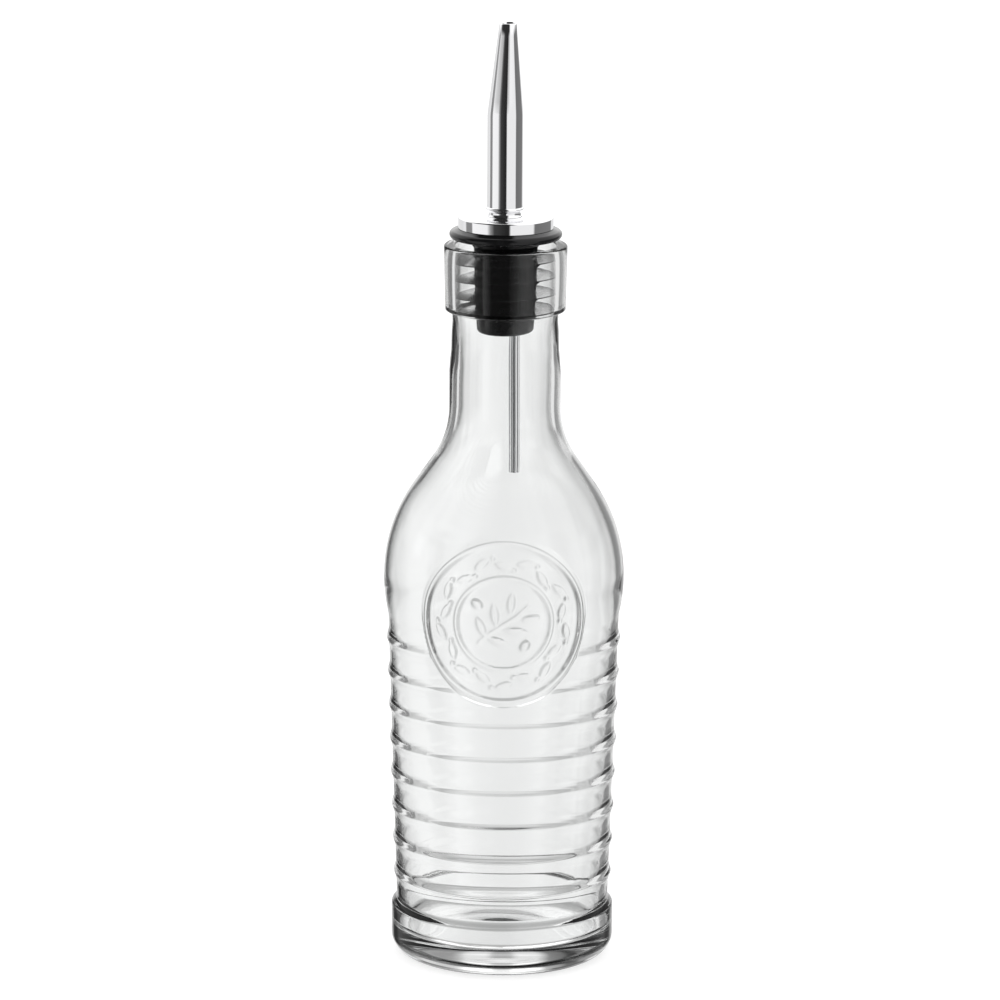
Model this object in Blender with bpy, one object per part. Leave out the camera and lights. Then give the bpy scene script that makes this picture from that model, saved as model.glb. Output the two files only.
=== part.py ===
"""An empty glass oil and vinegar bottle with a steel pourer.

Metres, Z up. The bottle stands on Z = 0, its axis is the Z axis, and its front,
with the round seal, faces -Y. Sizes below are in millimetres.
"""
import math

import bmesh
import bpy

MM = 0.001
SHARP_ANGLE = 35.0

# Bottle, outside
BODY_SEGMENTS = 42
FOOT_RECESS_RADIUS = 20.5
FOOT_RECESS_DEPTH = 1.6
FOOT_RECESS_RIM = 1.3
FOOT_RECESS_FLAT = 12.3
FOOT_RECESS_TOP = 1.9
FOOT_RING_INNER = 22.2
HEEL_RADIUS = 30.2
HEEL_ROUND = 5.5
HEEL_TOP = 14.5
HEEL_EDGE_ROUND = 0.9
HEEL_EDGE_TURN = 75.0
HEEL_EDGE_FOOT = (16.1, 28.95)
VALLEY_TOP = (95.0, 31.25)
VALLEY_BOTTOM = (18.7, 28.9)
RIB_COUNT = 8
RIB_TOP_HEIGHT = 88.5
RIB_SPACING = 9.37
RIB_HALF_WIDTH = 3.0
RIB_RELIEF = 0.75
RIB_SHAPE = ((-1.0, 0.0), (-0.4, 0.4), (0.0, 1.0), (0.4, 0.4), (1.0, 0.0))
BELLY_HEIGHT = 105.5
BELLY_RADIUS = 32.5
BELLY_ROUND = 44.0
BELLY_FOOT_TURN = -13.5
CONE_ANGLE = 35.0
NECK_ROUND = 24.4
NECK_RADIUS = 15.0
NECK_TAPER = [(162.0, NECK_RADIUS), (168.0, 14.48), (173.0, 14.4), (175.5, 14.18)]
COLLAR_BOTTOM = 178.5
COLLAR_LOWER_RADIUS = 16.2
COLLAR_UPPER_RADIUS = 16.6
COLLAR_ROUND = 0.5
MOUTH_HEIGHT = 196.3
LIP_ROUND = 0.6

# Bottle, inside
WALL = 1.8
BORE_LOWER = (169.0, 12.5)
BORE_UPPER = (181.0, 13.5)
INSIDE_TOP = (95.0, 29.75)
INSIDE_BOTTOM = (20.0, 26.9)
INSIDE_CORNER_RADIUS = 26.6
FLOOR_HEIGHT = 7.5
FLOOR_ROUND = 2.2
FLOOR_MIDDLE = 8.3
FLOOR_SLOPE = (8.1, 10.5)

# Round seal on the front, over a smooth pad
SEAL_SEGMENTS = 44
SEAL_HEIGHT = 99.05
SEAL_HEIGHT_SHARE = 0.973
SEAL_WRAP_RADIUS = 32.2
SEAL_BACK = 0.8
SEAL_BACK_RINGS = (24.2, 18.0, 12.0, 6.0)
SEAL_RELIEF = [
    (0.0, 0.3),
    (6.0, 0.3),
    (11.5, 0.3),
    (12.5, 0.95),
    (13.5, 0.3),
    (20.0, 0.3),
    (20.8, 1.0),
    (21.6, 1.0),
    (22.4, 0.35),
    (23.8, 0.25),
    (24.2, -0.5),
]
PAD_LOWER = (74.0, 31.4)
PAD_UPPER = (102.0, 32.36)

# Black stopper
STOPPER_SEGMENTS = 36
CORE_LOWER = (172.1, 7.75)
CORE_UPPER = (195.6, 8.6)
CORE_ROUND = 0.9
FIN_HEIGHTS = [177.6, 182.25, 186.9, 191.5]
FIN_GAP = 0.35
FIN_THICKNESS = 0.45
RIDGE_HALF_WIDTH = 1.2
RIDGE_RELIEF = 1.1
PLUG_RADIUS = 9.0
PLUG_BOTTOM = 196.1
FLANGE_BOTTOM = 198.0
FLANGE_TOP = 200.3
FLANGE_RADIUS = 15.15
SEAT_HEIGHT = 200.7
SEAT_RADIUS = 12.9
STOPPER_BORE = 4.4

# Steel pourer: disc, spout and air tube
DISC_SEGMENTS = 44
DISC_RADIUS = 12.8
DISC_BOTTOM = 201.0
DISC_TOP = 204.0
DISC_EDGE = [(203.6, DISC_RADIUS), (203.9, 12.65), (DISC_TOP, 12.3)]
SPOUT_SEGMENTS = 28
SPOUT_FOOT = 204.3
SPOUT_FOOT_RADIUS = 4.45
SPOUT_FOOT_FLARE = 4.55
SPOUT_FOOT_BORE = 4.0
BEAD_HEIGHT = 206.1
BEAD_RADIUS = 5.1
BEAD_ROUND = 0.6
BEAD_TURN = (-70.0, 55.0)
BEAD_BOTTOM = 205.15
BEAD_TOP = 207.0
SPOUT_RADIUS = 4.82
SPOUT_BORE = 4.3
TAPER_START = 231.8
TAPER_EDGE = [(231.2, SPOUT_RADIUS), (232.4, 4.74)]
TIP_HEIGHT = 256.0
TIP_RADIUS = 2.35
TIP_BORE = 1.9
TIP_CHAMFER = 0.1
TIP_LEAN = 0.6
SPOUT_ASIDE = -0.28
AIR_TUBE_SEGMENTS = 16
AIR_TUBE_RADIUS = 1.45
AIR_TUBE_BORE = 1.0
AIR_TUBE_OFFSET = 2.6
AIR_TUBE_BOTTOM = 133.7
AIR_TUBE_TOP = 203.9


def clear_scene():
    for item in list(bpy.data.objects):
        bpy.data.objects.remove(item, do_unlink=True)


def material(name, colour, metallic, roughness, transmission, ior, alpha):
    made = bpy.data.materials.new(name)
    made.use_nodes = True
    shader = made.node_tree.nodes["Principled BSDF"]
    shader.inputs["Base Color"].default_value = (*colour, 1.0)
    shader.inputs["Metallic"].default_value = metallic
    shader.inputs["Roughness"].default_value = roughness
    shader.inputs["Transmission Weight"].default_value = transmission
    shader.inputs["IOR"].default_value = ior
    shader.inputs["Alpha"].default_value = alpha
    made.diffuse_color = (*colour, alpha)
    return made


def arc(centre_height, centre_radius, size, start, end, steps):
    """Points (height, radius) of an arc in the profile plane, angles in degrees."""
    points = []
    for step in range(steps + 1):
        angle = math.radians(start + (end - start) * step / steps)
        height = centre_height + size * math.sin(angle)
        radius = centre_radius + size * math.cos(angle)
        points.append((height, radius))
    return points


def line_radius(lower, upper, height):
    """Radius at a height on the straight line through two (height, radius) points."""
    share = (height - lower[0]) / (upper[0] - lower[0])
    return lower[1] + (upper[1] - lower[1]) * share


def valley_radius(height):
    return line_radius(VALLEY_BOTTOM, VALLEY_TOP, height)


def bore_radius(height):
    """Radius of the hole through the neck, which widens into the mouth."""
    lowest, highest = BORE_LOWER[0], BORE_UPPER[0]
    return line_radius(BORE_LOWER, BORE_UPPER, min(max(height, lowest), highest))


def belly_radius(height):
    """Radius of the rounded shoulder and of the cone that follows it."""
    angle = math.radians(CONE_ANGLE)
    cone_start = BELLY_HEIGHT + BELLY_ROUND * math.sin(angle)
    rise = min(height, cone_start) - BELLY_HEIGHT
    round_part = BELLY_ROUND - math.sqrt(BELLY_ROUND ** 2 - rise ** 2)
    cone_part = max(0.0, height - cone_start) * math.tan(angle)
    return BELLY_RADIUS - round_part - cone_part


def rib_points(centre):
    """One rib with hollow flanks on the valley line, from its lower to its upper foot."""
    points = []
    for along, out in RIB_SHAPE:
        height = centre + along * RIB_HALF_WIDTH
        points.append((height, valley_radius(height) + out * RIB_RELIEF))
    return points


def shoulder(inset, neck_radius, belly_steps, neck_steps):
    """Belly arc, cone and hollow arc up to the neck, moved in by the inset."""
    belly_size = BELLY_ROUND - inset
    centre_radius = BELLY_RADIUS - BELLY_ROUND
    points = arc(BELLY_HEIGHT, centre_radius, belly_size, 0, CONE_ANGLE, belly_steps)
    angle = math.radians(CONE_ANGLE)
    neck_size = NECK_ROUND + inset
    start_radius = neck_radius + neck_size * (1 - math.cos(angle))
    cone_rise = (points[-1][1] - start_radius) / math.tan(angle)
    neck_height = points[-1][0] + cone_rise + neck_size * math.sin(angle)
    neck_centre = neck_radius + neck_size
    points += arc(
        neck_height, neck_centre, neck_size, 180 + CONE_ANGLE, 180, neck_steps
    )
    return points


def inside_radius(height):
    """Radius of the inside of the wall behind the seal."""
    if height > BELLY_HEIGHT:
        return belly_radius(height) - WALL
    if height > INSIDE_TOP[0]:
        belly = (BELLY_HEIGHT, BELLY_RADIUS - WALL)
        return line_radius(INSIDE_TOP, belly, height)
    return line_radius(INSIDE_BOTTOM, INSIDE_TOP, height)


def outside_profile():
    """The outside of the bottle from the middle of its foot up to the lip."""
    points = [(FOOT_RECESS_TOP, 0.0)]
    points.append((FOOT_RECESS_DEPTH, FOOT_RECESS_FLAT))
    points.append((FOOT_RECESS_RIM, FOOT_RECESS_RADIUS))
    points.append((0.0, FOOT_RING_INNER))
    heel_centre = HEEL_RADIUS - HEEL_ROUND
    points += arc(HEEL_ROUND, heel_centre, HEEL_ROUND, -90, 0, 5)
    edge = HEEL_TOP - HEEL_EDGE_ROUND
    edge_centre = HEEL_RADIUS - HEEL_EDGE_ROUND
    points += arc(edge, edge_centre, HEEL_EDGE_ROUND, 0, HEEL_EDGE_TURN, 2)
    points.append(HEEL_EDGE_FOOT)
    points.append(VALLEY_BOTTOM)
    lowest = RIB_TOP_HEIGHT - (RIB_COUNT - 1) * RIB_SPACING
    for rib in range(RIB_COUNT):
        points += rib_points(lowest + rib * RIB_SPACING)
    belly_centre = BELLY_RADIUS - BELLY_ROUND
    points += arc(BELLY_HEIGHT, belly_centre, BELLY_ROUND, BELLY_FOOT_TURN, 0, 4)[:-1]
    points += shoulder(0.0, NECK_RADIUS, 8, 5)
    points += NECK_TAPER
    lower = COLLAR_BOTTOM + COLLAR_ROUND
    points += arc(lower, COLLAR_LOWER_RADIUS - COLLAR_ROUND, COLLAR_ROUND, -90, 0, 3)
    upper = MOUTH_HEIGHT - LIP_ROUND
    points += arc(upper, COLLAR_UPPER_RADIUS - LIP_ROUND, LIP_ROUND, 0, 90, 3)
    return points


def inside_profile():
    """The inside of the bottle from the lip down to the middle of its floor."""
    lip_centre = BORE_UPPER[1] + LIP_ROUND
    points = arc(MOUTH_HEIGHT - LIP_ROUND, lip_centre, LIP_ROUND, 90, 180, 2)
    points += [BORE_UPPER, BORE_LOWER]
    points += reversed(shoulder(WALL, BORE_LOWER[1], 6, 4))
    points.append(INSIDE_TOP)
    points.append(INSIDE_BOTTOM)
    corner = INSIDE_CORNER_RADIUS - FLOOR_ROUND
    points += arc(FLOOR_HEIGHT + FLOOR_ROUND, corner, FLOOR_ROUND, 0, -90, 4)
    points.append(FLOOR_SLOPE)
    points.append((FLOOR_MIDDLE, 0.0))
    return points


def no_offset(height):
    return 0.0


def new_object(name, mesh_builder, surface):
    mesh = bpy.data.meshes.new(name)
    bmesh.ops.recalc_face_normals(mesh_builder, faces=mesh_builder.faces)
    mesh_builder.to_mesh(mesh)
    mesh_builder.free()
    made = bpy.data.objects.new(name, mesh)
    bpy.context.scene.collection.objects.link(made)
    mesh.materials.append(surface)
    smooth(made)
    return made


def smooth(item):
    mesh = item.data
    mesh.polygons.foreach_set("use_smooth", [True] * len(mesh.polygons))
    mesh.set_sharp_from_angle(angle=math.radians(SHARP_ANGLE))
    mesh.update()


def add_ring(builder, height, radius, segments, offset):
    if radius == 0.0:
        return [builder.verts.new((offset * MM, 0.0, height * MM))]
    ring = []
    for step in range(segments):
        turn = 2 * math.pi * (step + 0.5) / segments
        x = offset + radius * math.cos(turn)
        y = radius * math.sin(turn)
        ring.append(builder.verts.new((x * MM, y * MM, height * MM)))
    return ring


def bridge(builder, first, second):
    count = max(len(first), len(second))
    for step in range(count):
        after = (step + 1) % count
        if len(first) == 1:
            builder.faces.new((first[0], second[step], second[after]))
        elif len(second) == 1:
            builder.faces.new((first[step], first[after], second[0]))
        else:
            corners = (first[step], first[after], second[after], second[step])
            builder.faces.new(corners)


def turned(name, profile, segments, surface, closed, offset_at=no_offset):
    """A turned solid. A closed profile runs round a ring-shaped section."""
    builder = bmesh.new()
    rings = []
    for height, radius in profile:
        rings.append(add_ring(builder, height, radius, segments, offset_at(height)))
    for first, second in zip(rings, rings[1:]):
        bridge(builder, first, second)
    if closed:
        bridge(builder, rings[-1], rings[0])
    return new_object(name, builder, surface)


def pad_radius(height):
    """Radius of the smooth pad that carries the seal over the upper ribs."""
    if height > PAD_UPPER[0]:
        return belly_radius(height)
    return line_radius(PAD_LOWER, PAD_UPPER, height)


def seal_point(distance, turn, base_radius, relief):
    """A point of the seal: distance from its centre, turn round it, relief on a base."""
    along = distance * math.cos(turn)
    height = SEAL_HEIGHT + distance * math.sin(turn) * SEAL_HEIGHT_SHARE
    radius = base_radius(height) + relief
    angle = along / SEAL_WRAP_RADIUS
    x = radius * math.sin(angle)
    y = -radius * math.cos(angle)
    return (x * MM, y * MM, height * MM)


def seal_ring(builder, distance, base_radius, relief):
    if distance == 0.0:
        return [builder.verts.new(seal_point(0.0, 0.0, base_radius, relief))]
    ring = []
    for step in range(SEAL_SEGMENTS):
        turn = 2 * math.pi * step / SEAL_SEGMENTS
        ring.append(builder.verts.new(seal_point(distance, turn, base_radius, relief)))
    return ring


def seal_solid(surface):
    """A closed disc whose face follows the bottle and whose back is in the wall."""
    builder = bmesh.new()
    rings = []
    for distance, relief in SEAL_RELIEF:
        rings.append(seal_ring(builder, distance, pad_radius, relief))
    for distance in (*SEAL_BACK_RINGS, 0.0):
        rings.append(seal_ring(builder, distance, inside_radius, SEAL_BACK))
    for first, second in zip(rings, rings[1:]):
        bridge(builder, first, second)
    return new_object("seal_solid", builder, surface)


def join_solids(base, added):
    change = base.modifiers.new("join", "BOOLEAN")
    change.operation = "UNION"
    change.solver = "EXACT"
    change.object = added
    graph = bpy.context.evaluated_depsgraph_get()
    joined = bpy.data.meshes.new_from_object(base.evaluated_get(graph))
    base.modifiers.clear()
    old = base.data
    base.data = joined
    joined.name = base.name
    bpy.data.meshes.remove(old)
    bpy.data.objects.remove(added, do_unlink=True)
    smooth(base)


def make_bottle(surface):
    profile = outside_profile() + inside_profile()
    bottle = turned("bottle", profile, BODY_SEGMENTS, surface, False)
    join_solids(bottle, seal_solid(surface))
    return bottle


def core_radius(height):
    return line_radius(CORE_LOWER, CORE_UPPER, height)


def fin_points(height):
    """A ridge round the core with a thin fin, flat on top, out to the glass."""
    lower = height - RIDGE_HALF_WIDTH
    upper = height + RIDGE_HALF_WIDTH
    radius = bore_radius(upper) - FIN_GAP
    return [
        (lower, core_radius(lower)),
        (height, core_radius(height) + RIDGE_RELIEF),
        (upper - FIN_THICKNESS, radius),
        (upper, radius),
        (upper, core_radius(upper)),
    ]


def make_stopper(surface):
    bottom, radius = CORE_LOWER
    profile = [(bottom, STOPPER_BORE), (bottom, radius - CORE_ROUND)]
    profile.append((bottom + CORE_ROUND, core_radius(bottom + CORE_ROUND)))
    for height in FIN_HEIGHTS:
        profile += fin_points(height)
    profile.append(CORE_UPPER)
    profile.append((PLUG_BOTTOM, PLUG_RADIUS))
    profile.append((FLANGE_BOTTOM, PLUG_RADIUS))
    middle = (FLANGE_BOTTOM + FLANGE_TOP) / 2
    size = (FLANGE_TOP - FLANGE_BOTTOM) / 2
    profile += arc(middle, FLANGE_RADIUS - size, size, -90, 90, 4)
    profile.append((SEAT_HEIGHT, SEAT_RADIUS))
    profile.append((SEAT_HEIGHT, STOPPER_BORE))
    return turned("stopper", profile, STOPPER_SEGMENTS, surface, True)


def make_disc(surface):
    profile = [(DISC_BOTTOM, STOPPER_BORE), (DISC_BOTTOM, DISC_RADIUS)]
    profile += DISC_EDGE
    profile.append((DISC_TOP, STOPPER_BORE))
    return turned("pourer_cap", profile, DISC_SEGMENTS, surface, True)


def spout_lean(height):
    """Sideways place of the spout's axis, which leans in the tapered part."""
    share = max(0.0, height - TAPER_START) / (TIP_HEIGHT - TAPER_START)
    return SPOUT_ASIDE + TIP_LEAN * share


def make_spout(surface):
    outside = [(SPOUT_FOOT, SPOUT_FOOT_FLARE)]
    outside.append((BEAD_BOTTOM, SPOUT_FOOT_RADIUS))
    outside += arc(BEAD_HEIGHT, BEAD_RADIUS - BEAD_ROUND, BEAD_ROUND, *BEAD_TURN, 3)
    outside.append((BEAD_TOP, SPOUT_RADIUS))
    outside += TAPER_EDGE
    outside.append((TIP_HEIGHT - TIP_CHAMFER, TIP_RADIUS))
    outside.append((TIP_HEIGHT, TIP_RADIUS - TIP_CHAMFER))
    inside = [(TIP_HEIGHT, TIP_BORE)]
    inside.append((TAPER_START, SPOUT_BORE))
    inside.append((BEAD_TOP, SPOUT_BORE))
    inside.append((SPOUT_FOOT, SPOUT_FOOT_BORE))
    profile = outside + inside
    return turned("spout", profile, SPOUT_SEGMENTS, surface, True, spout_lean)


def air_tube_offset(height):
    return AIR_TUBE_OFFSET


def make_air_tube(surface):
    profile = [
        (AIR_TUBE_BOTTOM, AIR_TUBE_BORE),
        (AIR_TUBE_BOTTOM, AIR_TUBE_RADIUS),
        (AIR_TUBE_TOP, AIR_TUBE_RADIUS),
        (AIR_TUBE_TOP, AIR_TUBE_BORE),
    ]
    segments = AIR_TUBE_SEGMENTS
    return turned("air_tube", profile, segments, surface, True, air_tube_offset)


def main():
    clear_scene()
    glass = material("clear_glass", (0.94, 0.96, 0.95), 0.0, 0.03, 1.0, 1.5, 1.0)
    steel = material("polished_steel", (0.78, 0.78, 0.79), 1.0, 0.16, 0.0, 1.5, 1.0)
    black = material("black_stopper", (0.02, 0.02, 0.021), 0.0, 0.35, 0.0, 1.5, 1.0)
    make_bottle(glass)
    make_stopper(black)
    make_disc(steel)
    make_spout(steel)
    make_air_tube(steel)


main()
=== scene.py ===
"""Looks of an empty glass oil and vinegar bottle with a steel pourer.

The frame is in metres, Z up. The bottle stands on Z = 0 and its seal faces -Y.
Sizes in the named values are in millimetres, and MM turns them into metres.
"""
import math

import bpy
import numpy as np
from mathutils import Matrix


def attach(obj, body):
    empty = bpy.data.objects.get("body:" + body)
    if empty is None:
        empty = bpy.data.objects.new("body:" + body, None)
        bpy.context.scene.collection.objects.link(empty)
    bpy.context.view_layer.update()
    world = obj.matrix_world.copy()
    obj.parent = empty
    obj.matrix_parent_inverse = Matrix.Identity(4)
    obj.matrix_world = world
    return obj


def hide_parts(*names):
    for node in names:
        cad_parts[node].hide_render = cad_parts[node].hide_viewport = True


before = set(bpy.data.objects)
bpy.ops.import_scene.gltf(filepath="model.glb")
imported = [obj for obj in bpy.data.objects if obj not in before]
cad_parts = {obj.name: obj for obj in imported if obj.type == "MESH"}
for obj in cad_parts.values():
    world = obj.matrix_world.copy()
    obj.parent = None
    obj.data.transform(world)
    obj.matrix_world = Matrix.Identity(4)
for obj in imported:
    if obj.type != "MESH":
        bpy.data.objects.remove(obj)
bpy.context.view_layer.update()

MM = 0.001
BODY = "root"

# Bottle, outside
HEEL_RADIUS = 30.2
HEEL_ROUND = 5.5
HEEL_TOP = 14.5
HEEL_EDGE_ROUND = 0.9
FOOT_RECESS_DEPTH = 1.0
FOOT_RING_INNER = 22.2
VALLEY_TOP = (95.0, 31.25)
VALLEY_BOTTOM = (18.7, 28.9)
RIB_COUNT = 8
RIB_TOP_HEIGHT = 88.5
RIB_SPACING = 9.37
RIB_HALF_WIDTH = 3.0
RIB_RELIEF = 0.9
RIB_CREST_ROUND = 0.12
RIB_BACK_SHARE = 0.5
RIB_BACK_TURN = (88.0, 114.0)
BELLY_HEIGHT = 105.5
BELLY_RADIUS = 32.5
BELLY_ROUND = 44.0
BELLY_FOOT = 89.0
BELLY_BLEND = 0.15
CONE_ANGLE = 35.0
NECK_ROUND = 24.4
NECK_RADIUS = 15.0
NECK_TAPER = [(162.0, NECK_RADIUS), (165.0, 14.78), (168.0, 14.5), (173.0, 14.4), (175.5, 14.2)]
COLLAR_BOTTOM = 178.5
COLLAR_LOWER_RADIUS = 16.2
COLLAR_UPPER_RADIUS = 16.6
COLLAR_ROUND = 0.5
MOUTH_HEIGHT = 196.3
LIP_ROUND = 0.6

# Bottle, inside
WALL = 1.6
BORE_LOWER = (169.0, 12.5)
BORE_UPPER = (181.0, 13.5)
INSIDE_TOP = (95.0, 29.9)
INSIDE_BOTTOM = (20.0, 27.1)
INSIDE_CORNER_RADIUS = 26.6
INSIDE_RIB_SHARE = (0.15, 0.7)
FLOOR_HEIGHT = 7.5
FLOOR_ROUND = 2.2
FLOOR_DOME = 0.8
INSIDE_WAVE = 0.1
INSIDE_ASIDE = 0.4

# Seal
SEAL_HEIGHT = 99.4
SEAL_HEIGHT_SHARE = 0.973
SEAL_WRAP_RADIUS = 32.2
SEAL_OUTER = 24.1
SEAL_FADE = 0.6
SEAL_GROUND = 0.25
OUTER_RING = (22.1, 1.1, 1.5, 0.55)
INNER_RING = (13.0, 0.9, 1.3, 0.42)
PAD_LOWER = (74.0, 31.4)
PAD_UPPER = (102.0, 32.36)
WREATH_RADIUS = 16.8
WREATH_LEAVES = 18
LEAF_RELIEF = 0.42

# Mesh fineness
SEAL_STEP = 0.38
RIB_STEP = 0.45
INSIDE_STEP = 0.9
PLAIN_TURN_DEGREES = 4.5
ROUND_SEGMENTS = 128

# Stopper
CORE_LOWER = (172.1, 7.75)
CORE_UPPER = (195.6, 8.6)
CORE_ROUND = 0.9
FIN_HEIGHTS = [177.6, 182.25, 186.9, 191.5]
FIN_GAP = 0.05
FIN_THICKNESS = 0.3
FIN_TILT_DEGREES = 2.7
RIDGE_HALF_WIDTH = 1.2
RIDGE_RELIEF = 1.1
PLUG_RADIUS = 9.0
PLUG_BOTTOM = 196.1
FLANGE_BOTTOM = 198.0
FLANGE_TOP = 200.3
FLANGE_RADIUS = 15.15
SEAT_HEIGHT = 200.8
SEAT_RADIUS = 12.9
STOPPER_BORE = 4.4

# Steel pourer
DISC_RADIUS = 12.8
DISC_BOTTOM = 200.9
DISC_TOP = 204.0
SPOUT_FOOT = 204.05
SPOUT_FOOT_RADIUS = 4.45
BEAD_HEIGHT = 206.1
BEAD_RADIUS = 5.1
SPOUT_RADIUS = 4.82
SPOUT_BORE = 4.3
TAPER_START = 231.8
TIP_HEIGHT = 256.0
TIP_RADIUS = 2.35
TIP_BORE = 1.9
TIP_LEAN = 0.6
SPOUT_ASIDE = -0.28
AIR_TUBE_RADIUS = 1.45
AIR_TUBE_BORE = 1.0
AIR_TUBE_OFFSET = 2.6
AIR_TUBE_BOTTOM = 133.7
AIR_TUBE_TOP = 203.9

# Camera, fitted to the photograph
CAMERA_DISTANCE = 1636.1
CAMERA_HEIGHT = 487.8
CAMERA_PITCH = 12.465
CAMERA_FOCAL_PIXELS = 6199.5
CAMERA_ROLL = 0.318
AXIS_OFFSET_PIXELS = 4.2
FRAME_PIXELS = 1000
SENSOR_WIDTH = 36.0


def arc(centre_height, centre_radius, size, start, end, steps):
    """Points (height, radius) of an arc in the profile plane, angles in degrees."""
    points = []
    for step in range(steps + 1):
        angle = math.radians(start + (end - start) * step / steps)
        height = centre_height + size * math.sin(angle)
        radius = centre_radius + size * math.cos(angle)
        points.append((height, radius))
    return points


def line_radius(lower, upper, height):
    share = (height - lower[0]) / (upper[0] - lower[0])
    return lower[1] + (upper[1] - lower[1]) * share


def bore_radius(height):
    """Radius of the hole through the neck, which widens into the mouth."""
    lowest, highest = BORE_LOWER[0], BORE_UPPER[0]
    return line_radius(BORE_LOWER, BORE_UPPER, min(max(height, lowest), highest))


def belly_radius(height):
    angle = math.radians(CONE_ANGLE)
    cone_start = BELLY_HEIGHT + BELLY_ROUND * math.sin(angle)
    rise = np.minimum(height, cone_start) - BELLY_HEIGHT
    round_part = BELLY_ROUND - np.sqrt(BELLY_ROUND ** 2 - rise ** 2)
    cone_part = np.maximum(0.0, height - cone_start) * math.tan(angle)
    return BELLY_RADIUS - round_part - cone_part


def rib_relief(height):
    """Relief of the ribs: hollow flanks up to a narrow rounded crest."""
    relief = np.zeros(np.shape(height))
    for rib in range(RIB_COUNT):
        away = np.abs(height - (RIB_TOP_HEIGHT - rib * RIB_SPACING)) / RIB_HALF_WIDTH
        rounded = np.sqrt(away ** 2 + RIB_CREST_ROUND ** 2)
        relief = relief + RIB_RELIEF * np.clip(1.0 - rounded, 0.0, 1.0) ** 2
    return relief


def stepped(start, end, step):
    count = max(2, int(round(abs(end - start) / step)) + 1)
    return list(np.linspace(start, end, count))


def straight(first, second, step):
    """Points between two (height, radius) points, without the first one."""
    reach = math.hypot(second[0] - first[0], second[1] - first[1])
    count = max(1, int(math.ceil(reach / step)))
    points = []
    for part in range(1, count + 1):
        share = part / count
        height = first[0] + (second[0] - first[0]) * share
        points.append((height, first[1] + (second[1] - first[1]) * share))
    return points


def shoulder(inset, neck_radius, belly_steps, neck_steps):
    """Belly arc, cone and hollow arc up to the neck, moved in by the inset."""
    centre_radius = BELLY_RADIUS - BELLY_ROUND
    size = BELLY_ROUND - inset
    points = arc(BELLY_HEIGHT, centre_radius, size, 0, CONE_ANGLE, belly_steps)
    angle = math.radians(CONE_ANGLE)
    neck_size = NECK_ROUND + inset
    start_radius = neck_radius + neck_size * (1 - math.cos(angle))
    cone_rise = (points[-1][1] - start_radius) / math.tan(angle)
    neck_height = points[-1][0] + cone_rise + neck_size * math.sin(angle)
    centre = neck_radius + neck_size
    points += arc(neck_height, centre, neck_size, 180 + CONE_ANGLE, 180, neck_steps)
    return points


def soft_larger(first, second, blend):
    """The larger of two radii, with a rounded change from one to the other."""
    excess = second - first
    return first + 0.5 * (excess + math.hypot(excess, blend))


def outside_profile():
    points = []
    for radius in stepped(0.0, FOOT_RING_INNER, 1.6):
        dish = 0.5 + 0.5 * math.cos(math.pi * radius / FOOT_RING_INNER)
        points.append((FOOT_RECESS_DEPTH * dish, radius))
    points += arc(HEEL_ROUND, HEEL_RADIUS - HEEL_ROUND, HEEL_ROUND, -90, 0, 14)
    edge = HEEL_TOP - HEEL_EDGE_ROUND
    edge_centre = HEEL_RADIUS - HEEL_EDGE_ROUND
    points += straight(points[-1], (edge, HEEL_RADIUS), 2.0)[:-1]
    points += arc(edge, edge_centre, HEEL_EDGE_ROUND, 0, 62, 5)
    lowest_valley = line_radius(VALLEY_BOTTOM, VALLEY_TOP, HEEL_TOP + 1.9)
    points.append((HEEL_TOP + 0.65, lowest_valley + 0.22))
    for height in stepped(HEEL_TOP + 1.3, BELLY_HEIGHT, RIB_STEP)[:-1]:
        radius = line_radius(VALLEY_BOTTOM, VALLEY_TOP, height)
        if height > BELLY_FOOT:
            radius = soft_larger(radius, float(belly_radius(height)), BELLY_BLEND)
        points.append((height, radius))
    points += shoulder(0.0, NECK_RADIUS, 68, 16)
    points += straight(points[-1], NECK_TAPER[0], 3.0)
    points += NECK_TAPER[1:]
    points.append((COLLAR_BOTTOM - 0.5, NECK_TAPER[-1][1] + 0.1))
    lower = COLLAR_BOTTOM + COLLAR_ROUND
    points += arc(lower, COLLAR_LOWER_RADIUS - COLLAR_ROUND, COLLAR_ROUND, -80, 0, 7)
    upper = MOUTH_HEIGHT - LIP_ROUND
    points += straight(points[-1], (upper, COLLAR_UPPER_RADIUS), 3.0)[:-1]
    points += arc(upper, COLLAR_UPPER_RADIUS - LIP_ROUND, LIP_ROUND, 0, 90, 7)
    return points


def inside_profile():
    top = MOUTH_HEIGHT - LIP_ROUND
    points = arc(top, BORE_UPPER[1] + LIP_ROUND, LIP_ROUND, 90, 180, 7)
    points += straight(points[-1], BORE_UPPER, 6.0)
    points += straight(points[-1], BORE_LOWER, 2.0)
    upper = list(reversed(shoulder(WALL, BORE_LOWER[1], 18, 10)))
    points += straight(points[-1], upper[0], 6.0)[:-1]
    points += upper
    points += straight(points[-1], INSIDE_TOP, 2.0)
    points += straight(points[-1], INSIDE_BOTTOM, INSIDE_STEP)
    corner = INSIDE_CORNER_RADIUS - FLOOR_ROUND
    points += arc(FLOOR_HEIGHT + FLOOR_ROUND, corner, FLOOR_ROUND, 0, -90, 9)
    points += straight(points[-1], (FLOOR_HEIGHT + FLOOR_DOME * 0.7, corner * 0.5), 3.0)
    points += straight(points[-1], (FLOOR_HEIGHT + FLOOR_DOME, 0.0), 3.0)
    return points


def smooth_step(low, high, value):
    share = np.clip((value - low) / (high - low), 0.0, 1.0)
    return share * share * (3 - 2 * share)


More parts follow.
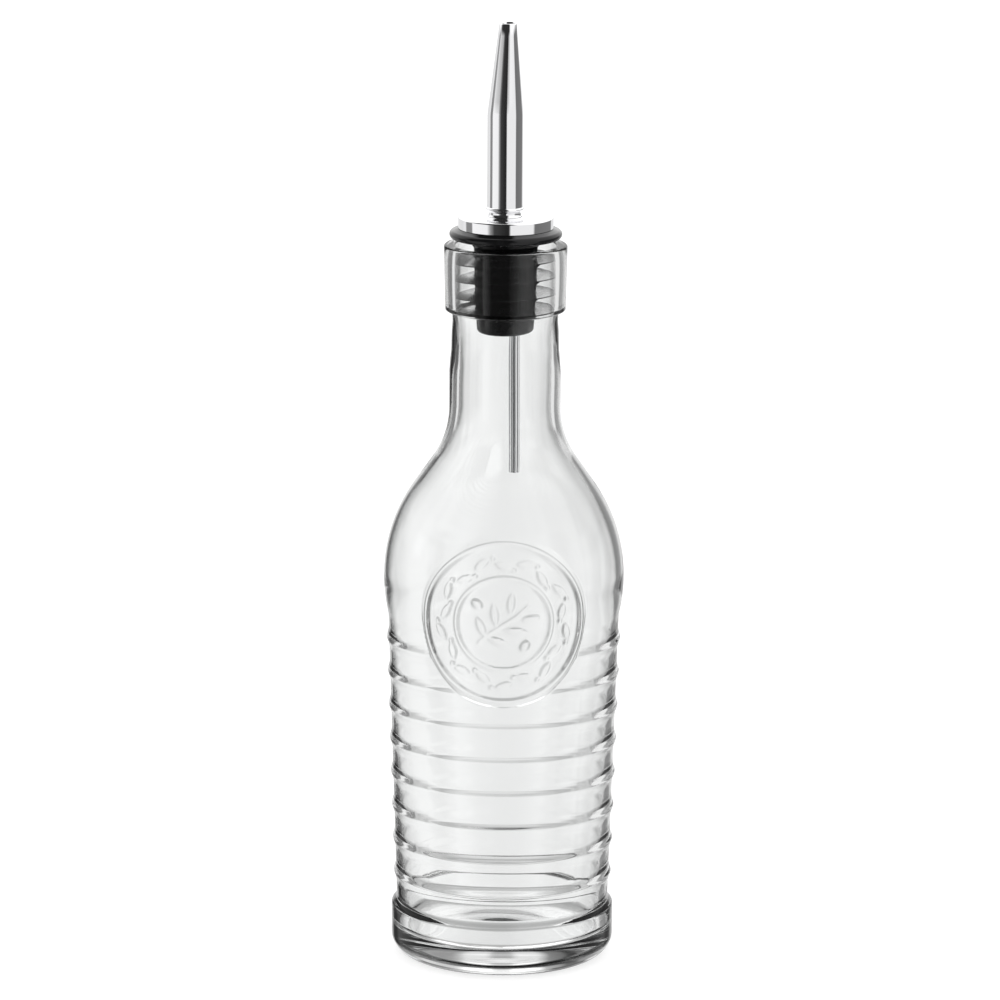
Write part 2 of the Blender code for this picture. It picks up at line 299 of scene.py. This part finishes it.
def ring_bead(distance, ring):
    """A raised ring: its crest's radius, its outer and inner widths and its relief."""
    crest, outer, inner, relief = ring
    away = distance - crest
    away = np.where(away > 0.0, away / outer, -away / inner)
    return relief * (0.5 + 0.5 * np.cos(np.pi * np.minimum(away, 1.0)))


def leaf(u, v, centre, turn, length, width, relief):
    """A pointed leaf with a middle vein, as relief over the seal's ground."""
    du = u - centre[0]
    dv = v - centre[1]
    along = (du * math.cos(turn) + dv * math.sin(turn)) / (length / 2)
    across = -du * math.sin(turn) + dv * math.cos(turn)
    half = np.maximum(width / 2 * (1 - along ** 2), 1e-6)
    inside = np.clip(1 - (across / half) ** 2, 0.0, 1.0) * (np.abs(along) < 1.0)
    vein = 0.35 * np.exp(-((across / 0.22) ** 2)) * (np.abs(along) < 0.85)
    return relief * (np.sqrt(inside) - vein * inside)


def dome(u, v, centre, turn, length, width, relief):
    """An oval dome, such as an olive or a small berry."""
    du = u - centre[0]
    dv = v - centre[1]
    along = (du * math.cos(turn) + dv * math.sin(turn)) / (length / 2)
    across = (-du * math.sin(turn) + dv * math.cos(turn)) / (width / 2)
    return relief * np.sqrt(np.clip(1 - along ** 2 - across ** 2, 0.0, 1.0))


def stroke(u, v, points, half_width, relief):
    """A raised line along a short chain of points."""
    nearest = np.full(u.shape, 1e3)
    for (u0, v0), (u1, v1) in zip(points, points[1:]):
        du = u1 - u0
        dv = v1 - v0
        share = np.clip(((u - u0) * du + (v - v0) * dv) / (du * du + dv * dv), 0.0, 1.0)
        away = np.hypot(u - u0 - share * du, v - v0 - share * dv)
        nearest = np.minimum(nearest, away)
    return relief * np.sqrt(np.clip(1 - (nearest / half_width) ** 2, 0.0, 1.0))


def wreath(u, v):
    """Leaves round the band between the two rings, with a berry after each pair."""
    relief = np.zeros(u.shape)
    for number in range(WREATH_LEAVES):
        turn = 2 * math.pi * (number + 0.5) / WREATH_LEAVES
        side = 1 if number % 2 else -1
        reach = WREATH_RADIUS + 0.75 * side
        centre = (reach * math.cos(turn), reach * math.sin(turn))
        lean = turn + math.pi / 2 + math.radians(20) * side
        relief = np.maximum(relief, leaf(u, v, centre, lean, 5.4, 2.3, LEAF_RELIEF))
        berry_turn = turn + math.pi / WREATH_LEAVES
        reach = WREATH_RADIUS - 1.5 * side
        centre = (reach * math.cos(berry_turn), reach * math.sin(berry_turn))
        relief = np.maximum(relief, dome(u, v, centre, 0.0, 1.5, 1.5, LEAF_RELIEF))
    return relief


def sprig(u, v):
    """A small twig with long leaves and two fruits, in the seal's middle."""
    stem = [(-6.6, -5.2), (-3.6, -2.6), (-0.4, -0.4), (3.2, 2.0), (6.6, 5.2)]
    relief = stroke(u, v, stem, 0.42, LEAF_RELIEF * 0.8)
    leaves = [
        ((-6.0, -0.9), 112, 6.2),
        ((-2.4, 2.7), 96, 6.6),
        ((1.9, 5.9), 84, 6.0),
        ((-1.2, -5.0), -20, 6.6),
        ((3.4, -2.0), -8, 6.8),
        ((7.2, 1.4), 8, 5.6),
    ]
    for centre, degrees, length in leaves:
        turn = math.radians(degrees)
        relief = np.maximum(relief, leaf(u, v, centre, turn, length, 2.3, LEAF_RELIEF))
    relief = np.maximum(relief, dome(u, v, (5.6, -6.2), math.radians(60), 3.6, 2.7, 0.6))
    relief = np.maximum(relief, dome(u, v, (-7.0, 5.6), math.radians(-40), 3.6, 2.7, 0.6))
    return relief


def pad_radius(height):
    lower = line_radius(PAD_LOWER, PAD_UPPER, height)
    return np.where(height > PAD_UPPER[0], belly_radius(height), lower)


def with_seal(radius, angle, height):
    """Radius of the outside with the seal raised on it."""
    u = angle * SEAL_WRAP_RADIUS
    v = (height - SEAL_HEIGHT) / SEAL_HEIGHT_SHARE
    distance = np.hypot(u, v)
    relief = SEAL_GROUND + ring_bead(distance, OUTER_RING) + ring_bead(distance, INNER_RING)
    band = (distance > INNER_RING[0] + 0.6) & (distance < OUTER_RING[0] - 1.0)
    relief = relief + np.where(band, wreath(u, v), 0.0)
    relief = relief + np.where(distance < INNER_RING[0] - 0.8, sprig(u, v), 0.0)
    raised = pad_radius(height) + relief
    share = 1 - smooth_step(SEAL_OUTER - SEAL_FADE, SEAL_OUTER, distance)
    return radius + (np.maximum(raised, radius) - radius) * share


def bottle_angles():
    """Angles round the bottle from the front, closer together across the seal."""
    half = SEAL_OUTER / SEAL_WRAP_RADIUS + 0.02
    fine = stepped(-half, half, SEAL_STEP / SEAL_WRAP_RADIUS)
    coarse = stepped(half, 2 * math.pi - half, math.radians(PLAIN_TURN_DEGREES))
    return np.array(fine + coarse[1:-1])


def grid_mesh(name, points, closed_rows):
    """A mesh from points[row, column], wrapped round its columns."""
    rows, columns = points.shape[:2]
    index = np.arange(rows * columns).reshape(rows, columns)
    after = np.roll(index, -1, axis=1)
    upper = np.roll(index, -1, axis=0)
    upper_after = np.roll(after, -1, axis=0)
    last = rows if closed_rows else rows - 1
    faces = np.stack([index, after, upper_after, upper], axis=-1)[:last].reshape(-1, 4)
    mesh = bpy.data.meshes.new(name)
    mesh.from_pydata(points.reshape(-1, 3).tolist(), [], faces.tolist())
    mesh.validate()
    mesh.update()
    return mesh


def make_piece(name, mesh, surface, node, sharp_degrees=40.0):
    made = bpy.data.objects.new(name, mesh)
    bpy.context.scene.collection.objects.link(made)
    mesh.materials.append(surface)
    mesh.polygons.foreach_set("use_smooth", [True] * len(mesh.polygons))
    mesh.set_sharp_from_angle(angle=math.radians(sharp_degrees))
    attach(made, BODY)
    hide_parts(node)
    return made


def close_pole(mesh, first_row, last_row):
    """Joins the points of each end row that lie on the axis into one point."""
    import bmesh
    builder = bmesh.new()
    builder.from_mesh(mesh)
    builder.verts.ensure_lookup_table()
    both = [[builder.verts[number] for number in row] for row in (first_row, last_row)]
    for ends in both:
        bmesh.ops.pointmerge(builder, verts=ends, merge_co=ends[0].co)
    bmesh.ops.recalc_face_normals(builder, faces=builder.faces)
    builder.to_mesh(mesh)
    builder.free()


def make_bottle(surface):
    angles = bottle_angles()
    outside = outside_profile()
    inside = inside_profile()
    turn = angles[None, :]
    out = np.array(outside)
    height_out = np.repeat(out[:, :1], len(angles), axis=1)
    radius_out = np.repeat(out[:, 1:], len(angles), axis=1)
    wrapped = np.where(angles > math.pi, angles - 2 * math.pi, angles)
    low, high = RIB_BACK_TURN
    back = smooth_step(low, high, np.abs(np.degrees(wrapped)))[None, :]
    ribs = rib_relief(height_out) * (height_out > HEEL_TOP + 1.2)
    radius_out = radius_out + ribs * (1 + (RIB_BACK_SHARE - 1) * back)
    reach = SEAL_OUTER + 1.0
    near = np.abs(out[:, 0] - SEAL_HEIGHT) < reach
    spread = np.repeat(wrapped[None, :], int(near.sum()), axis=0)
    radius_out[near] = with_seal(radius_out[near], spread, height_out[near])
    inner = np.array(inside)
    height_in = np.repeat(inner[:, :1], len(angles), axis=1)
    radius_in = np.repeat(inner[:, 1:], len(angles), axis=1)
    near_share, far_share = INSIDE_RIB_SHARE
    follow = near_share + (far_share - near_share) * back
    body = (height_in > INSIDE_BOTTOM[0] - 4.0) & (height_in < INSIDE_TOP[0] + 0.5)
    radius_in = radius_in + rib_relief(height_in) * body * follow
    wave = np.sin(2 * turn + height_in / 17.0) + 0.6 * np.sin(3 * turn - height_in / 11.0)
    free = smooth_step(FLOOR_HEIGHT + 4, FLOOR_HEIGHT + 14, height_in)
    free = free * (1 - smooth_step(168.0, 176.0, height_in))
    aside = INSIDE_ASIDE * np.sin(turn) * (1 - smooth_step(122.0, 140.0, height_in))
    radius_in = radius_in + (INSIDE_WAVE * wave - aside) * free
    height = np.concatenate([height_out, height_in])
    radius = np.concatenate([radius_out, radius_in])
    points = np.stack([radius * np.sin(turn), -radius * np.cos(turn), height], axis=-1) * MM
    mesh = grid_mesh("glass_bottle", points, False)
    columns = len(angles)
    rows = len(points)
    close_pole(mesh, range(columns), range((rows - 1) * columns, rows * columns))
    return make_piece("glass_bottle", mesh, surface, "bottle", 60.0)


def turned(name, profile, surface, node, offset=None, segments=ROUND_SEGMENTS):
    """A turned piece whose profile runs round a ring-shaped section."""
    turns = np.linspace(0.0, 2 * math.pi, segments, endpoint=False)
    rings = np.array(profile)
    shift = np.zeros(len(rings)) if offset is None else np.array([offset(h) for h, r in profile])
    x = rings[:, 1:] * np.cos(turns) + shift[:, None]
    y = rings[:, 1:] * np.sin(turns)
    z = np.repeat(rings[:, :1], segments, axis=1)
    mesh = grid_mesh(name, np.stack([x, y, z], axis=-1) * MM, True)
    return make_piece(name, mesh, surface, node)


def core_radius(height):
    return line_radius(CORE_LOWER, CORE_UPPER, height)


def fin_points(height):
    """A ridge round the core with a thin fin, flat on top, out to the glass."""
    lower = height - RIDGE_HALF_WIDTH
    upper = height + RIDGE_HALF_WIDTH
    ridge = core_radius(height) + RIDGE_RELIEF
    rim = bore_radius(upper) - FIN_GAP
    half = FIN_THICKNESS / 2
    points = [(lower - 0.3, core_radius(lower - 0.3))]
    points.append((lower + 0.2, core_radius(lower) + 0.12))
    points.append((height - 0.35, ridge - 0.2))
    points.append((height, ridge))
    points.append((upper - FIN_THICKNESS * 1.6, ridge + 0.5))
    points.append((upper - FIN_THICKNESS, rim - 0.1))
    points.append((upper - half, rim))
    points.append((upper, rim - 0.1))
    points.append((upper, ridge + 0.3))
    points.append((upper + 0.15, core_radius(upper) + 0.3))
    points.append((upper + 0.5, core_radius(upper + 0.5)))
    return points


def make_stopper(surface):
    bottom, radius = CORE_LOWER
    profile = [(bottom, STOPPER_BORE)]
    profile += arc(bottom + CORE_ROUND, radius - CORE_ROUND, CORE_ROUND, -90, 0, 5)
    for height in FIN_HEIGHTS:
        profile += fin_points(height)
    profile.append(CORE_UPPER)
    profile.append((PLUG_BOTTOM, PLUG_RADIUS))
    profile.append((FLANGE_BOTTOM - 0.3, PLUG_RADIUS))
    profile.append((FLANGE_BOTTOM, PLUG_RADIUS + 0.3))
    middle = (FLANGE_BOTTOM + FLANGE_TOP) / 2
    size = (FLANGE_TOP - FLANGE_BOTTOM) / 2
    profile += arc(middle, FLANGE_RADIUS - size, size, -90, 90, 12)
    profile.append((SEAT_HEIGHT - 0.05, SEAT_RADIUS + 0.2))
    profile.append((SEAT_HEIGHT, SEAT_RADIUS - 0.1))
    profile.append((SEAT_HEIGHT, STOPPER_BORE))
    stopper = turned("pourer_stopper", profile, surface, "stopper")
    tilt_fins(stopper.data)
    return stopper


def tilt_fins(mesh):
    """Leans the fins, which the glass bends a little to one side."""
    count = len(mesh.vertices)
    places = np.empty(count * 3)
    mesh.vertices.foreach_get("co", places)
    places = places.reshape(count, 3)
    radius = np.hypot(places[:, 0], places[:, 1]) / MM
    low, high = CORE_LOWER[1], BORE_UPPER[1]
    share = smooth_step(low, high, radius) * (places[:, 2] < PLUG_BOTTOM * MM)
    places[:, 2] += places[:, 0] * math.tan(math.radians(FIN_TILT_DEGREES)) * share
    mesh.vertices.foreach_set("co", places.ravel())
    mesh.update()


def make_disc(surface):
    profile = [(DISC_BOTTOM, STOPPER_BORE), (DISC_BOTTOM, DISC_RADIUS)]
    profile += arc(DISC_TOP - 0.45, DISC_RADIUS - 0.45, 0.45, 0, 90, 6)
    profile.append((DISC_TOP, STOPPER_BORE + 0.2))
    profile.append((DISC_TOP - 0.2, STOPPER_BORE))
    return turned("steel_disc", profile, surface, "pourer_cap")


def spout_lean(height):
    """Sideways place of the spout's axis, which leans in the tapered part."""
    share = max(0.0, height - TAPER_START) / (TIP_HEIGHT - TAPER_START)
    return SPOUT_ASIDE + TIP_LEAN * share


def make_spout(surface):
    profile = [(SPOUT_FOOT, SPOUT_FOOT_RADIUS + 0.15)]
    profile.append((SPOUT_FOOT + 0.25, SPOUT_FOOT_RADIUS))
    profile.append((BEAD_HEIGHT - 0.85, SPOUT_FOOT_RADIUS))
    profile += arc(BEAD_HEIGHT, BEAD_RADIUS - 0.6, 0.6, -60, 55, 8)
    profile.append((BEAD_HEIGHT + 0.8, SPOUT_RADIUS + 0.03))
    profile.append((BEAD_HEIGHT + 1.2, SPOUT_RADIUS))
    profile += straight(profile[-1], (TAPER_START - 1.0, SPOUT_RADIUS), 4.0)
    profile.append((TAPER_START - 0.3, SPOUT_RADIUS - 0.015))
    profile.append((TAPER_START + 0.6, SPOUT_RADIUS - 0.08))
    profile += straight(profile[-1], (TIP_HEIGHT - 0.3, TIP_RADIUS), 3.0)
    profile.append((TIP_HEIGHT - 0.08, TIP_RADIUS - 0.06))
    profile.append((TIP_HEIGHT, TIP_RADIUS - 0.17))
    profile.append((TIP_HEIGHT, TIP_BORE + 0.06))
    profile.append((TIP_HEIGHT - 0.12, TIP_BORE))
    profile += straight(profile[-1], (TAPER_START, SPOUT_BORE), 6.0)
    profile.append((SPOUT_FOOT, SPOUT_BORE))
    return turned("steel_spout", profile, surface, "spout", spout_lean)


def air_tube_offset(height):
    return AIR_TUBE_OFFSET


def make_air_tube(surface):
    profile = [(AIR_TUBE_BOTTOM + 0.1, AIR_TUBE_BORE)]
    profile.append((AIR_TUBE_BOTTOM, AIR_TUBE_BORE + 0.1))
    profile.append((AIR_TUBE_BOTTOM, AIR_TUBE_RADIUS - 0.1))
    profile.append((AIR_TUBE_BOTTOM + 0.1, AIR_TUBE_RADIUS))
    profile.append((AIR_TUBE_TOP, AIR_TUBE_RADIUS))
    profile.append((AIR_TUBE_TOP, AIR_TUBE_BORE))
    return turned(
        "steel_air_tube", profile, surface, "air_tube", air_tube_offset, 48
    )


def new_material(name):
    made = bpy.data.materials.new(name)
    made.use_nodes = True
    return made, made.node_tree.nodes, made.node_tree.links


def add_bump(nodes, links, height, strength, distance_mm):
    bump = nodes.new("ShaderNodeBump")
    bump.inputs["Strength"].default_value = strength
    bump.inputs["Distance"].default_value = distance_mm * MM
    links.new(height, bump.inputs["Height"])
    links.new(bump.outputs["Normal"], nodes["Principled BSDF"].inputs["Normal"])


def noise(nodes, links, scale, detail, stretch):
    """Noise over object coordinates in metres, stretched by three factors."""
    place = nodes.new("ShaderNodeTexCoord")
    mapping = nodes.new("ShaderNodeMapping")
    mapping.inputs["Scale"].default_value = stretch
    links.new(place.outputs["Object"], mapping.inputs["Vector"])
    pattern = nodes.new("ShaderNodeTexNoise")
    pattern.inputs["Scale"].default_value = scale
    pattern.inputs["Detail"].default_value = detail
    links.new(mapping.outputs["Vector"], pattern.inputs["Vector"])
    return pattern.outputs["Fac"]


def spread(nodes, links, value, low, high):
    """The value's middle range turned into low to high."""
    change = nodes.new("ShaderNodeMapRange")
    change.inputs["From Min"].default_value = 0.3
    change.inputs["From Max"].default_value = 0.7
    change.inputs["To Min"].default_value = low
    change.inputs["To Max"].default_value = high
    links.new(value, change.inputs["Value"])
    return change.outputs["Result"]


def glass_material():
    made, nodes, links = new_material("clear_moulded_glass")
    shader = nodes["Principled BSDF"]
    shader.inputs["Base Color"].default_value = (0.985, 0.99, 0.988, 1.0)
    shader.inputs["Roughness"].default_value = 0.0
    shader.inputs["Transmission Weight"].default_value = 1.0
    shader.inputs["IOR"].default_value = 1.5
    wave = noise(nodes, links, 55.0, 1.5, (1.0, 1.0, 0.55))
    add_bump(nodes, links, wave, 0.1, 0.35)
    return made


def steel_material():
    made, nodes, links = new_material("polished_steel")
    shader = nodes["Principled BSDF"]
    shader.inputs["Base Color"].default_value = (0.80, 0.80, 0.81, 1.0)
    shader.inputs["Metallic"].default_value = 1.0
    fine = noise(nodes, links, 900.0, 3.0, (1.0, 1.0, 0.06))
    links.new(spread(nodes, links, fine, 0.04, 0.08), shader.inputs["Roughness"])
    add_bump(nodes, links, fine, 0.12, 0.02)
    return made


def stopper_material():
    made, nodes, links = new_material("black_moulded_stopper")
    shader = nodes["Principled BSDF"]
    ramp = nodes.new("ShaderNodeValToRGB")
    ramp.color_ramp.elements[0].position = 0.3
    ramp.color_ramp.elements[0].color = (0.004, 0.004, 0.0042, 1.0)
    ramp.color_ramp.elements[1].position = 0.7
    ramp.color_ramp.elements[1].color = (0.008, 0.008, 0.0085, 1.0)
    cloud = noise(nodes, links, 260.0, 4.0, (1.0, 1.0, 1.0))
    links.new(cloud, ramp.inputs["Fac"])
    links.new(ramp.outputs["Color"], shader.inputs["Base Color"])
    links.new(spread(nodes, links, cloud, 0.08, 0.13), shader.inputs["Roughness"])
    shader.inputs["IOR"].default_value = 1.32
    grain = noise(nodes, links, 2600.0, 2.0, (1.0, 1.0, 1.0))
    add_bump(nodes, links, grain, 0.15, 0.03)
    return made


def make_camera():
    camera = bpy.data.cameras.new("camera")
    camera.sensor_width = SENSOR_WIDTH
    camera.lens = CAMERA_FOCAL_PIXELS / FRAME_PIXELS * SENSOR_WIDTH
    camera.clip_end = 100.0
    holder = bpy.data.objects.new("camera", camera)
    depth = math.hypot(CAMERA_DISTANCE, CAMERA_HEIGHT)
    aside = -AXIS_OFFSET_PIXELS / CAMERA_FOCAL_PIXELS * depth
    holder.location = (aside * MM, -CAMERA_DISTANCE * MM, CAMERA_HEIGHT * MM)
    holder.rotation_mode = "XYZ"
    tilt = math.radians(90.0 - CAMERA_PITCH)
    holder.rotation_euler = (tilt, 0.0, 0.0)
    holder.rotation_euler.rotate_axis("Z", math.radians(CAMERA_ROLL))
    bpy.context.scene.collection.objects.link(holder)
    bpy.context.scene.camera = holder


def make_floor():
    bpy.ops.mesh.primitive_plane_add(size=12.0, location=(0.0, 0.0, 0.0))
    floor = bpy.context.object
    floor.name = "floor"
    made, nodes, links = new_material("pale_floor")
    shader = nodes["Principled BSDF"]
    shader.inputs["Base Color"].default_value = (0.4, 0.4, 0.4, 1.0)
    shader.inputs["Roughness"].default_value = 0.9
    shader.inputs["Emission Color"].default_value = (1.0, 1.0, 1.0, 1.0)
    shader.inputs["Emission Strength"].default_value = 0.75
    floor.data.materials.append(made)
    floor.visible_transmission = False
    floor.visible_glossy = False


# Brightness of the surroundings by azimuth in degrees, 0 behind the bottle and
# 180 at the camera, positive towards the right of the photograph. A light panel
# stands behind the bottle and at each of the other azimuths named here, with dark
# sides. The tables give the brightness by the angle from a panel's middle.
SEEN_LEVEL = 1.1
LEVEL_PANELS = (-90.0, 0.0, 135.0)
LEVEL_PROFILE = [
    (-43, 0.8), (-38, 0.12), (-21, 0.12), (-18.5, 0.35), (-16, 0.6), (-11, 0.7),
    (-8, 0.79), (-4.5, 0.9), (0, 0.89), (5, 0.84), (8.5, 0.77), (14, 0.64), (18, 0.48),
    (22, 0.28), (36, 0.22), (41, 0.8),
]
LOW_PANELS = (-45.0,)
LOW_PROFILE = [
    (-43, 0.8), (-38, 0.12), (-21, 0.12), (-18.5, 0.35), (-16, 0.6), (-11, 0.75),
    (-4.5, 0.9), (5, 0.88), (12, 0.7), (18, 0.5), (70, 0.5), (80, 0.9), (190, 0.9),
]
LOW_START = (-28.0, -22.0)
HIGH_PANELS = (-90.0, 0.0, 135.0)
HIGH_PROFILE = [
    (-44, 0.3), (-35, 0.25), (-32, 0.08), (-27, 0.08), (-23, 0.3), (-17, 0.42),
    (-12, 1.5), (-5, 1.5), (-2.5, 0.85), (2.5, 0.85), (5, 1.5), (12, 1.5), (15, 0.9),
    (18, 0.6), (25, 0.6), (33, 0.7), (44, 0.3),
]
HIGH_START = (2.0, 6.0)
CAMERA_SIDE = ((-150.0, 0.1), (172.0, 0.1))
SEEN_BY_HEIGHT = [
    (-90, 1.7), (-60, 1.6), (-51, 1.1), (-44, 0.8), (-37, 0.8), (-31, 1.0),
    (12.5, 1.0), (16, 0.5), (25, 0.45), (35, 0.35), (90, 0.35),
]
MIRRORED_LEVEL = 1.2
MIRRORED = [
    (-180, 0.02), (-152, 0.05), (-142, 0.3), (-134, 0.9), (-93, 0.95), (-90, 0.25),
    (-70, 0.25), (-67, 0.85), (-50, 0.75), (34, 0.75), (38, 0.8), (42, 0.2),
    (106, 0.16), (110, 0.85), (168, 0.85), (172, 0.02), (180, 0.02),
]
MIRRORED_ABOVE = [
    (-180, 0.02), (-100, 0.02), (-75, 0.95), (70, 0.95), (110, 0.9), (150, 0.8),
    (163, 0.02), (180, 0.02),
]
ABOVE_LEVEL = 1.6
ABOVE_START = (0.0, 7.0)
GLASS_MIRRORED = [
    (-180, 0.02), (-150, 0.02), (-120, 0.25), (-70, 0.5), (-45, 0.5), (-35, 0.12),
    (-24, 0.12), (-18, 0.8), (22, 0.8), (29, 0.25), (38, 0.2), (48, 0.5), (70, 0.4),
    (120, 0.25), (160, 0.2), (170, 0.02), (180, 0.02),
]


def math_node(nodes, links, operation, first, second=None, third=None):
    made = nodes.new("ShaderNodeMath")
    made.operation = operation
    for socket, value in zip(made.inputs, (first, second, third)):
        if value is None:
            continue
        if isinstance(value, (int, float)):
            socket.default_value = value
        else:
            links.new(value, socket)
    return made.outputs[0]


def curve(nodes, links, value, stops):
    """The value, 0 to 1, put through straight lines between the stops."""
    made = nodes.new("ShaderNodeFloatCurve")
    mapping = made.mapping
    points = mapping.curves[0].points
    while len(points) < len(stops):
        points.new(0.5, 0.5)
    for point, (place, level) in zip(points, stops):
        point.location = (place, level)
        point.handle_type = "VECTOR"
    mapping.update()
    links.new(value, made.inputs["Value"])
    return made.outputs["Value"]


def bands(nodes, links, value, low, high, stops):
    """Brightness from a value in low to high, by straight lines between stops."""
    share = math_node(nodes, links, "SUBTRACT", value, low)
    share = math_node(nodes, links, "DIVIDE", share, high - low)
    return curve(nodes, links, share, [((at - low) / (high - low), y) for at, y in stops])


def blend_up(nodes, links, rise, start, lower, upper):
    """The lower value up to the start of a range of rise, the upper value after it."""
    low, high = start
    share = bands(nodes, links, rise, -90.0, 90.0, [(-90, 0), (low, 0), (high, 1), (90, 1)])
    gap = math_node(nodes, links, "SUBTRACT", upper, lower)
    return math_node(nodes, links, "MULTIPLY_ADD", gap, share, lower)


def panels(middles, profile):
    """Brightness by azimuth for light panels with these middles."""
    start, end = CAMERA_SIDE
    stops = [(-180.0, start[1]), start]
    for middle in middles:
        for angle, level in profile:
            if start[0] < middle + angle < end[0]:
                stops.append((middle + angle, level))
    stops += [end, (180.0, end[1])]
    return stops


def make_world():
    world = bpy.data.worlds.new("studio")
    bpy.context.scene.world = world
    world.use_nodes = True
    nodes = world.node_tree.nodes
    links = world.node_tree.links
    background = nodes["Background"]
    place = nodes.new("ShaderNodeTexCoord")
    split = nodes.new("ShaderNodeSeparateXYZ")
    links.new(place.outputs["Generated"], split.inputs["Vector"])
    azimuth = math_node(nodes, links, "ARCTAN2", split.outputs["X"], split.outputs["Y"])
    azimuth = math_node(nodes, links, "DEGREES", azimuth)
    rise = math_node(nodes, links, "ARCSINE", split.outputs["Z"])
    rise = math_node(nodes, links, "DEGREES", rise)
    through = bands(nodes, links, azimuth, -180.0, 180.0, panels(LOW_PANELS, LOW_PROFILE))
    level = bands(nodes, links, azimuth, -180.0, 180.0, panels(LEVEL_PANELS, LEVEL_PROFILE))
    through = blend_up(nodes, links, rise, LOW_START, through, level)
    high = bands(nodes, links, azimuth, -180.0, 180.0, panels(HIGH_PANELS, HIGH_PROFILE))
    through = blend_up(nodes, links, rise, HIGH_START, through, high)
    by_height = bands(nodes, links, rise, -90.0, 90.0, SEEN_BY_HEIGHT)
    through = math_node(nodes, links, "MULTIPLY", through, by_height)
    through = math_node(nodes, links, "MULTIPLY", through, SEEN_LEVEL)
    glass_mirrored = bands(nodes, links, azimuth, -180.0, 180.0, GLASS_MIRRORED)
    mirrored = bands(nodes, links, azimuth, -180.0, 180.0, MIRRORED)
    above = bands(nodes, links, azimuth, -180.0, 180.0, MIRRORED_ABOVE)
    mirrored = math_node(nodes, links, "MULTIPLY", mirrored, MIRRORED_LEVEL)
    above = math_node(nodes, links, "MULTIPLY", above, ABOVE_LEVEL)
    mirrored = blend_up(nodes, links, rise, ABOVE_START, mirrored, above)
    path = nodes.new("ShaderNodeLightPath")
    first = nodes.new("ShaderNodeMix")
    first.data_type = "RGBA"
    first.inputs[6].default_value = (1.0, 1.0, 1.0, 1.0)
    links.new(path.outputs["Is Glossy Ray"], first.inputs[0])
    either = nodes.new("ShaderNodeMix")
    either.data_type = "RGBA"
    links.new(path.outputs["Is Singular Ray"], either.inputs[0])
    links.new(mirrored, either.inputs[6])
    links.new(glass_mirrored, either.inputs[7])
    links.new(either.outputs[2], first.inputs[7])
    second = nodes.new("ShaderNodeMix")
    second.data_type = "RGBA"
    links.new(path.outputs["Is Transmission Ray"], second.inputs[0])
    links.new(first.outputs[2], second.inputs[6])
    links.new(through, second.inputs[7])
    links.new(second.outputs[2], background.inputs["Color"])
    background.inputs["Strength"].default_value = 1.0


def main():
    bpy.context.scene.view_settings.view_transform = "Standard"
    make_camera()
    glass = glass_material()
    steel = steel_material()
    black = stopper_material()
    make_bottle(glass)
    make_stopper(black)
    make_disc(steel)
    make_spout(steel)
    make_air_tube(steel)
    make_floor()
    make_world()


main()
